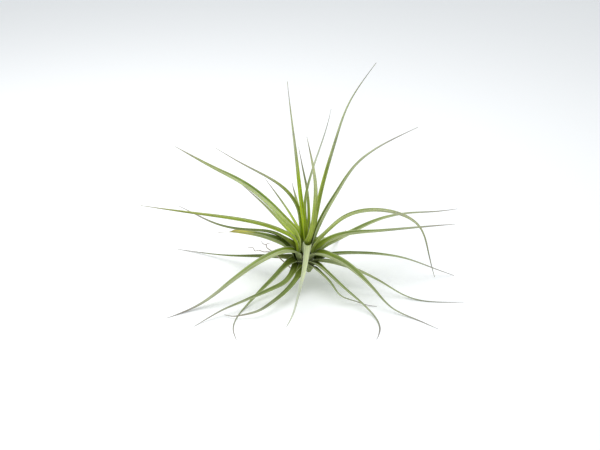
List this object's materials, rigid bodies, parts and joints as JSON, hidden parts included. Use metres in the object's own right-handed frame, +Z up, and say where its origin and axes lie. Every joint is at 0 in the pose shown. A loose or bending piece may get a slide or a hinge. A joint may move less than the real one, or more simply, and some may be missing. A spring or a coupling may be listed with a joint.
{
  "type": "air plant",
  "caption": "Air plant: a rosette of narrow channelled leaves on a short stem, upright in the middle and arching down to the surface outside, with fine wiry roots.",
  "frame": {"origin": "on the surface that the plant stands on, below the middle of its reach in X and Y", "axes": "+Z up, -Y towards the viewer of the picture, +X to the viewer's right along the widest reach of the leaves"},
  "size_m": [0.2204, 0.1618, 0.1552],
  "materials": {
    "heart_leaf": "satin yellow-green leaf with fine lengthwise striping",
    "arching_leaf": "satin mid green leaf, paler and finely scaled on its outer face",
    "lower_leaf": "matte dark green leaf with a grey scaly bloom and dry tips",
    "stem": "dull brown bark",
    "root": "dry wiry root, pinkish brown"
  },
  "bodies": {
    "root": {"leaf_01": "heart_leaf", "leaf_02": "heart_leaf", "leaf_03": "heart_leaf", "leaf_04": "heart_leaf", "leaf_05": "heart_leaf", "leaf_06": "heart_leaf", "leaf_07": "heart_leaf", "leaf_08": "arching_leaf", "leaf_09": "arching_leaf", "leaf_10": "arching_leaf", "leaf_11": "arching_leaf", "leaf_12": "arching_leaf", "leaf_13": "arching_leaf", "leaf_14": "arching_leaf", "leaf_15": "arching_leaf", "leaf_16": "arching_leaf", "leaf_17": "arching_leaf", "leaf_18": "arching_leaf", "leaf_19": "arching_leaf", "leaf_20": "arching_leaf", "leaf_21": "arching_leaf", "leaf_22": "lower_leaf", "leaf_23": "lower_leaf", "leaf_24": "lower_leaf", "leaf_25": "lower_leaf", "leaf_26": "lower_leaf", "leaf_27": "lower_leaf", "leaf_28": "lower_leaf", "leaf_29": "lower_leaf", "leaf_30": "lower_leaf", "leaf_31": "lower_leaf", "leaf_32": "lower_leaf", "stem": "stem", "roots": "root"}
  },
  "joints": []
}
